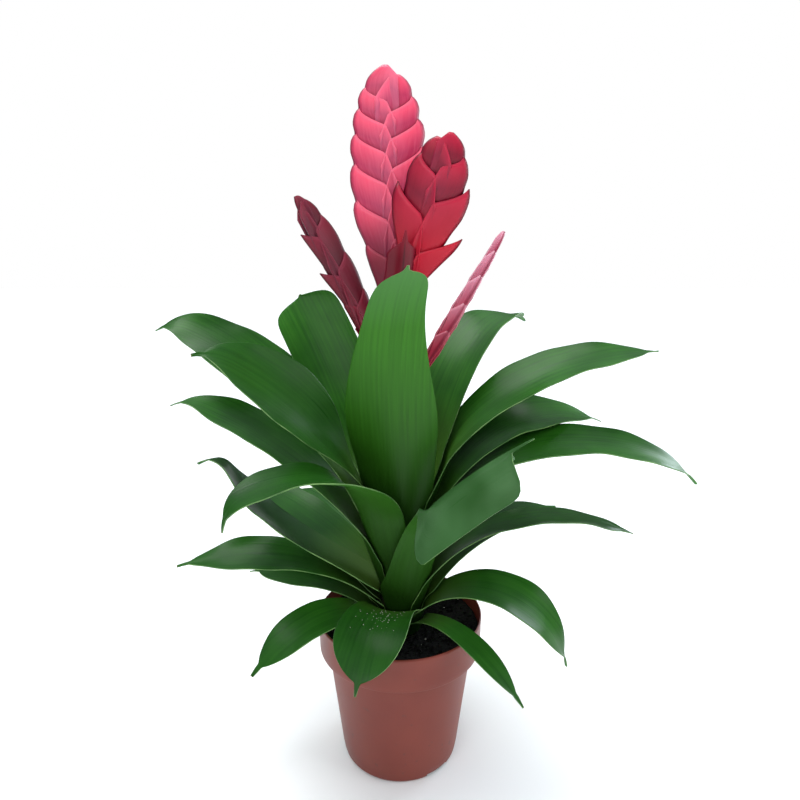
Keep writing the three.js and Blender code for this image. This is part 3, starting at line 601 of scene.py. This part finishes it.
# start: where the spike's rod leaves the stalk; foot, tip: the flat part; facing: direction of its face;
# reach: its greatest half-breadth; root: breadth at the foot as a share of that; widest: where it is reached;
# half: half-depth; taper: how much of that is lost at the tip; left: breadth of the left rank against the
# right; tips: height of each bract's tip as a share of the flat part, left and right in turn from the lowest;
# open: how far some bracts stand off; kind: their colours.
PLAIN_SPIKE = dict(left=1, open={}, taper=0)
SPIKES = {
    "spike_main": dict(start=(-4, 4, 328.3), foot=(-4, 4, 336), tip=(-9, 11, 484), facing=270, reach=25,
                       root=0.42, widest=0.5, half=6, kind="rose_bract",
                       tips=[0.1, 0.19, 0.28, 0.38, 0.47, 0.55, 0.62, 0.68, 0.74, 0.79, 0.84, 0.88, 0.92,
                             0.96, 1]),
    "spike_right": dict(start=(1.6, 0.2, 322), foot=(2, -4, 340), tip=(30, -19, 440), facing=262, reach=20.5,
                        root=0.35, widest=0.6, half=6, open={1: 9, 2: 6, 3: 4}, kind="crimson_bract",
                        tips=[0.3, 0.46, 0.67, 0.74, 0.86, 0.9, 0.96, 1]),
    "spike_left": dict(start=(-7, 2, 283), foot=(-17, 0, 306), tip=(-66, -4, 405), facing=300, reach=15,
                       root=0.4, widest=0.4, half=4.5, left=0.3, open={2: 5, 4: 5}, kind="burgundy_bract",
                       tips=[0.34, 0.38, 0.56, 0.62, 0.8, 0.86, 0.93, 0.97, 1]),
    "spike_thin": dict(start=(3.6, 3, 272), foot=(16, 5, 294), tip=(68, 8, 384), facing=5, reach=12, root=0.5,
                       widest=0.4, half=5.5, taper=0.6, open={1: 4}, kind="pink_bract",
                       tips=[0.3, 0.4, 0.5, 0.6, 0.7, 0.79, 0.87, 0.94, 1]),
}


def spike_reach(spike, x):
    """Half-breadth of a spike at the share x of its flat part, which closes in a round end."""
    rise = lerp(spike["root"], 1, smooth(x, 0, spike["widest"]))
    past_middle = clamp((x - 0.5) / 0.5)
    return spike["reach"] * rise * max(0.1, (1 - past_middle ** 2.6) ** 0.55)


def bract_of(spike, i, length):
    """Measures of the bract number i on a spike whose flat part has the given length."""
    tips = spike["tips"]
    tip = tips[i] * length
    spacing = (tips[max(i, 2)] - tips[max(i, 2) - 2]) * length
    side = 1 if i % 2 else -1
    return dict(tip=tip, spacing=spacing, length=min(max(26, 2.4 * spacing + 6), tip + 8), side=side,
                share=spike["left"] if side < 0 else 1, spread=spike["open"].get(i, 0))


def bract_point(spike, length, bract, a, s):
    """Point of a keeled bract in the spike's frame (across, along, depth). a: 0 on the keel to 1 on the
    middle line of the spike's face; s: 0 at the foot to 1 on the free margin, which sags to that line."""
    tip, spacing, share, spread = bract["tip"], bract["spacing"], bract["share"], bract["spread"]
    drop = 0.62 * spike_reach(spike, tip / length) * share + 3 + 0.5 * spread
    sag = 0.22 * (1 - (1 - a) ** 4) + 0.78 * a
    fall = 0.8 * spacing * smooth(a, 0.75, 1)
    beyond = OVERLAP * spike["reach"]
    if tip > CROWN * length:
        sag, fall, beyond = 1.6 * a ** 3, 0, beyond * 1.5
    y = lerp(tip - bract["length"], tip - drop * sag - fall, s)
    below = (tip - y) / spacing
    reach = spike_reach(spike, y / length)
    # Narrower at its very tip, a little under the next bract, and well where other bracts hide it.
    narrowed = (0.14 * max(0.0, 1 - below / 0.35) ** 2 + 0.1 * smooth(below, 0.55, 1.1)
                + 0.7 * smooth(below, 1.1, 2.6))
    edge = share * reach * (1 - narrowed) + spread * max(0.0, 1 - below) ** 1.5
    half = spike["half"] * (1 - spike["taper"] * y / length) * lerp(0.3, 1, reach / spike["reach"])
    half = lerp(ROOT_HALF, half, s ** 0.8) + LIP * smooth(s, 0.85, 1)
    depth = KEEL_HALF + (half - KEEL_HALF) * math.sin(a * math.pi / 2) ** 0.8
    return Vector((lerp(edge, -beyond, a), y, depth))


def spike_piece(name, spike):
    """One spike: bracts in two ranks, each folded on its keel, and the rod that they clasp."""
    foot = Vector(spike["foot"])
    along = Vector(spike["tip"]) - foot
    length = along.length
    along.normalize()
    facing = math.radians(spike["facing"])
    across = along.cross(Vector((math.cos(facing), math.sin(facing), 0))).normalized()
    turn = Matrix((across, along, across.cross(along))).transposed()
    whole = bmesh.new()
    whole.loops.layers.uv.new("leaf")
    whole.loops.layers.uv.new("size")
    holder = bpy.data.meshes.new("bract")
    for i in range(len(spike["tips"])):
        bract = bract_of(spike, i, length)
        shape = grid(BRACT_COLUMNS, BRACT_ROWS)
        for vertex in shape.verts:
            q = vertex.co.x * 2
            local = bract_point(spike, length, bract, abs(q), vertex.co.y + 0.5)
            local.x *= bract["side"]
            local.z = -math.copysign(local.z, q) if q else 0.0
            vertex.co = (turn @ local + foot) * MM
        # Each bract has pleats of its own, because its map starts one span further on.
        measure(shape, lambda u, v: ((u - 0.5) * 2 * spike["reach"] + i * MAP_SPAN, v * bract["length"]))
        if bract["side"] < 0:
            bmesh.ops.reverse_faces(shape, faces=shape.faces)
        shape.to_mesh(holder)
        shape.free()
        whole.from_mesh(holder)
    bpy.data.meshes.remove(holder)
    wax = bract_wax(spike["kind"])
    bracts = finish_piece(name + "_bracts", whole, [wax], [name])
    thicken(bracts, BRACT_THICKNESS)
    rod = bmesh.new()
    add_rod(rod, Vector(spike["start"]), foot, ROD_RADIUS, ROD_RADIUS, ROD_SIDES)
    add_rod(rod, foot, foot + along * length * 0.6, ROD_RADIUS, ROD_RADIUS / 2, ROD_SIDES)
    finish_piece(name + "_rod", rod, [wax], [])


for spike_name, spike_row in SPIKES.items():
    spike_piece(spike_name, {**PLAIN_SPIKE, **spike_row})


# ------------------------------------------------------------------ flower stalk
STALK_PATH = [(0, 0, 210.3), (-1, 2, 250), (-2, 3, 290), (-4, 4, 328)]
STALK_RADIUS = 4
STALK_SIDES = 24
STALK_BRACT_START = 3  # how far from the middle of the stalk a bract starts
STALK_BRACT_SLOPE = 68
STALK_BRACT_STEPS = 30
STALK_BRACT_THICKNESS = 1.0

# Boat-shaped bracts, in the same terms as a leaf. at: where the middle of the stalk is at their foot.
STALK_BRACTS = {
    "front": dict(azimuth=285, base=316, length=72, width=32, hold=4, tip=74, bend=1, cup=11, at=(-3.3, 3.7)),
    "left": dict(azimuth=188, base=272, length=56, width=22, hold=4, tip=58, bend=1, cup=9, at=(-1.6, 2.6)),
    "right": dict(azimuth=5, base=262, length=44, width=18, hold=4, tip=58, bend=1, cup=9, at=(-1.3, 2.3)),
}


def stalk_rod(material):
    """The flower stalk, as short straight lengths with the maps that its wax reads."""
    shape = bmesh.new()
    shape.loops.layers.uv.new("leaf")
    shape.loops.layers.uv.new("size")
    for low, high in zip(STALK_PATH, STALK_PATH[1:]):
        add_rod(shape, Vector(low), Vector(high), STALK_RADIUS, STALK_RADIUS, STALK_SIDES)
    finish_piece("flower_stalk_rod", shape, [material], ["flower_stalk"])


def stalk_bract(name, bract, material):
    """One boat-shaped bract that clasps the stalk."""
    line = leaf_line(bract, STALK_BRACT_START, STALK_BRACT_SLOPE, STALK_BRACT_STEPS)
    middle = Vector((*bract["at"], 0))
    shape = grid(LEAF_COLUMNS, STALK_BRACT_STEPS)
    for vertex in shape.verts:
        station = line[round((vertex.co.y + 0.5) * STALK_BRACT_STEPS)]
        vertex.co = (across_leaf(bract, station, -2 * vertex.co.x) + middle) * MM
    measure(shape, lambda u, v: (u * bract["width"], v * bract["length"]))
    piece = finish_piece("stalk_bract_" + name, shape, [material], [])
    thicken(piece, STALK_BRACT_THICKNESS)


stalk_wax = bract_wax("stalk_bract")
stalk_rod(stalk_wax)
for bract_name, bract_row in STALK_BRACTS.items():
    stalk_bract(bract_name, {**PLAIN_LEAF, **bract_row, "ripple": 0}, stalk_wax)

stem_finish = stem_skin()
for material_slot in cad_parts["stem"].material_slots:
    material_slot.material = stem_finish


# ------------------------------------------------------------------ pot and soil
# Outer face of the pot from the middle of its floor to the top of its rim, as (radius, height).
POT_PROFILE = [(0, 0), (14, 0), (22, 0), (31, 0), (38, 0), (40, 0), (41.3, 0.5), (42.3, 1.3), (42.8, 2.2),
               (43.08, 3.5), (44, 9), (48.2, 45), (52.6, 81), (53.3, 86.4), (53.6, 87.2), (54.2, 87.9),
               (55.4, 88), (58.4, 88), (59.2, 88.2), (59.45, 88.8), (59.5, 92), (59.7, 101), (59.8, 110),
               (60.0, 111.2), (60.0, 112.2), (59.6, 112.8), (59.0, 113)]
POT_SIDES = 120
POT_WALL = 1.2
POT_ROUNDING = 0.25
DRAIN_HOLES = 6
DRAIN_AZIMUTH = 30
DRAIN_INNER, DRAIN_MIDDLE, DRAIN_OUTER = 22, 27, 31  # radii of the ring of drain holes
DRAIN_HALF_WIDTH = 4
FOOT_SLOTS = 3
SLOT_AZIMUTH = 311
SLOT_INNER = 37  # radius from which a foot slot is cut
FOOT_RADIUS = 43  # radius at which its width is measured
SLOT_HALF_WIDTH = 10
SLOT_TOP = 3.4


def off_nearest(azimuth, first, count):
    """Radians between an azimuth and the nearest of count places spread evenly round the pot from first."""
    step = 360 / count
    return math.radians(abs((azimuth - first + step / 2) % step - step / 2))


def pot_piece(material):
    """The pot's outer face with its holes and slots cut out, then its wall and rounded edges."""
    shape = spun(POT_PROFILE, POT_SIDES)
    openings = []
    for face in shape.faces:
        centre = face.calc_center_median() / MM
        radius = math.hypot(centre.x, centre.y)
        azimuth = math.degrees(math.atan2(centre.y, centre.x))
        off_slot = off_nearest(azimuth, SLOT_AZIMUTH, FOOT_SLOTS) * FOOT_RADIUS
        off_hole = off_nearest(azimuth, DRAIN_AZIMUTH, DRAIN_HOLES) * DRAIN_MIDDLE
        in_slot = radius > SLOT_INNER and centre.z < SLOT_TOP and off_slot < SLOT_HALF_WIDTH
        in_hole = DRAIN_INNER < radius < DRAIN_OUTER and off_hole < DRAIN_HALF_WIDTH
        if in_slot or in_hole:
            openings.append(face)
    bmesh.ops.delete(shape, geom=openings, context="FACES")
    bmesh.ops.recalc_face_normals(shape, faces=shape.faces)
    piece = finish_piece("pot_shell", shape, [material], ["pot"])
    thicken(piece, POT_WALL, offset=-1)
    rounding = piece.modifiers.new("rounding", "BEVEL")
    rounding.width = POT_ROUNDING * MM
    rounding.segments = 2
    rounding.limit_method = "ANGLE"
    rounding.angle_limit = math.radians(50)


pot_piece(moulded_pot_plastic())

SOIL_LOW, SOIL_HIGH = 94, 103  # heights of the mounded mix at the stem and at the pot's wall
SOIL_RADIUS = 57.9
SOIL_SIDES = 110
SOIL_RINGS = [14.4, 16, *range(18, 55, 3), 56.5, 57.6]  # radii of its top, from the stem outwards
SOIL_BODY = [(57.4, 90), (51.7, 89.6), (43, 12), (41, 3.2), (0, 2)]
TOP_ABOVE = 91  # every point of the top is above this height
STREWN_RADIUS = 57


def soil_height(radius):
    return lerp(SOIL_LOW, SOIL_HIGH, math.sqrt(min(1.0, radius / SOIL_RADIUS)))


def soil_piece(material):
    """The mix that fills the pot, with lumps about 3 and 9 mm wide on its top."""
    shape = spun([(radius, soil_height(radius)) for radius in SOIL_RINGS] + SOIL_BODY, SOIL_SIDES)
    for vertex in shape.verts:
        place = vertex.co / MM
        if place.z > TOP_ABOVE:
            lump = noise.noise(place * 0.35) * 0.9 + noise.noise(place * 0.11) * 0.8
            vertex.co.z += lump * MM
    bmesh.ops.recalc_face_normals(shape, faces=shape.faces)
    finish_piece("potting_mix", shape, [material], ["soil"])


def strewn_grains(name, material, count, small, large, seed):
    """Grains strewn over the mix and pressed into it, most of them small."""
    draw = random.Random(seed)
    shape = bmesh.new()
    for _ in range(count):
        azimuth = draw.uniform(0, 2 * math.pi)
        radius = STREWN_RADIUS * math.sqrt(draw.uniform(0.08, 0.97))
        size = lerp(small, large, draw.random() ** 2)
        height = soil_height(radius) + 0.15 * size
        centre = Vector((radius * math.cos(azimuth), radius * math.sin(azimuth), height))
        angle = draw.uniform(0, 6.28)
        turn = Matrix.Rotation(angle, 4, Vector((draw.random(), draw.random(), 1)).normalized())
        stretch = Matrix.Diagonal((draw.uniform(0.8, 1.6), draw.uniform(0.6, 1.1), draw.uniform(0.5, 0.9), 1))
        bmesh.ops.create_icosphere(shape, subdivisions=1, radius=size * MM,
                                   matrix=Matrix.Translation(centre * MM) @ turn @ stretch)
    finish_piece(name, shape, [material], [], smooth_faces=False)


def fallen_grains(name, leaf, material, count, seed):
    """Fine perlite dust that watering has left on the upper side of a low leaf."""
    draw = random.Random(seed)
    line = blade_line(leaf)
    shape = bmesh.new()
    for _ in range(count):
        station = line[round(len(line) * draw.triangular(0.2, 0.5, 0.36))]
        size = draw.uniform(0.14, 0.3)
        centre = across_leaf(leaf, station, draw.triangular(-0.8, 0.8, 0.1))
        centre.z += LEAF_THICKNESS / 2 + 0.6 * size
        bmesh.ops.create_icosphere(shape, subdivisions=1, radius=size * MM,
                                   matrix=Matrix.Translation(centre * MM))
    finish_piece(name, shape, [material], [], smooth_faces=False)


peat = peat_mix()
perlite = perlite_grain()
soil_piece(peat)
strewn_grains("peat_crumbs", peat, count=900, small=0.4, large=1.7, seed=3)
strewn_grains("perlite_grains", perlite, count=42, small=0.25, large=0.9, seed=8)
fallen_grains("perlite_dust_on_leaf", LEAVES["leaf_front_low"], perlite, count=55, seed=12)


# ------------------------------------------------------------------ studio
def stage_floor():
    """Pale matt floor, a little cloudy, so that it doesn't look like a flat fill."""
    shape = bmesh.new()
    bmesh.ops.create_grid(shape, x_segments=1, y_segments=1, size=6)
    mesh = bpy.data.meshes.new("floor")
    shape.to_mesh(mesh)
    shape.free()
    floor = bpy.data.objects.new("floor", mesh)
    bpy.context.scene.collection.objects.link(floor)
    material, tree = new_material("pale_matt_floor")
    place = add(tree, "ShaderNodeTexCoord").outputs["Object"]
    cloud = add(tree, "ShaderNodeTexNoise", {"Vector": place, "Scale": per_metre(333)}).outputs[0]
    colour = add(tree, "ShaderNodeValToRGB", {0: cloud}, [(0.3, "#f2f3f3"), (0.7, "#f7f8f8")]).outputs[0]
    set_surface(tree, {"Base Color": colour, "Roughness": 0.7})
    mesh.materials.append(material)


def studio_world():
    """White seen by the camera. The light that it gives comes mostly from above, as under a soft ceiling."""
    world = bpy.data.worlds.new("white_studio")
    world.use_nodes = True
    tree = world.node_tree
    tree.nodes.clear()
    direction = add(tree, "ShaderNodeTexCoord").outputs["Generated"]
    up = add(tree, "ShaderNodeSeparateXYZ", {0: direction}).outputs[2]
    ceiling = add(tree, "ShaderNodeValToRGB", {0: up},
                  [(0.0, "#454a48"), (0.25, "#747b7b"), (0.8, "#eef6ff")]).outputs[0]
    seen = add(tree, "ShaderNodeLightPath").outputs["Is Camera Ray"]
    colour = add(tree, "ShaderNodeMix", {0: seen, 6: ceiling, 7: linear("#ffffff")},
                 data_type="RGBA").outputs[2]
    background = add(tree, "ShaderNodeBackground", {"Color": colour, "Strength": 1.0})
    add(tree, "ShaderNodeOutputWorld", {"Surface": background.outputs[0]})
    bpy.context.scene.world = world


def place_lamp(name, kind, direction, energy, location=(0, 0, 0)):
    """A lamp that shines in a direction. Gives back its data."""
    data = bpy.data.lights.new(name, kind)
    data.energy = energy
    lamp = bpy.data.objects.new(name, data)
    lamp.location = location
    lamp.rotation_euler = Vector(direction).to_track_quat("-Z", "Y").to_euler()
    bpy.context.scene.collection.objects.link(lamp)
    return data


def softbox(name, location, target, size, energy, colour="#ffffff"):
    """A rectangular lamp at location that faces target."""
    data = place_lamp(name, "AREA", Vector(target) - Vector(location), energy, location)
    data.shape = "RECTANGLE"
    data.size, data.size_y = size
    data.color = linear(colour)[:3]


stage_floor()
studio_world()
ceiling_light = place_lamp("ceiling_light", "SUN", (0.25, -0.3, -1.0), 2.4)
ceiling_light.angle = math.radians(45)
softbox("front_softbox", (-0.5, -1.1, 0.9), (0, 0, 0.25), (0.8, 0.8), 6)
softbox("right_softbox", (1.1, -0.35, 0.6), (0, 0, 0.22), (0.6, 0.9), 5)
softbox("back_window", (1.5, 1.2, 0.75), (0.1, 0, 0.2), (0.8, 0.8), 14, "#eaf4ff")
bpy.context.scene.view_settings.view_transform = "Standard"
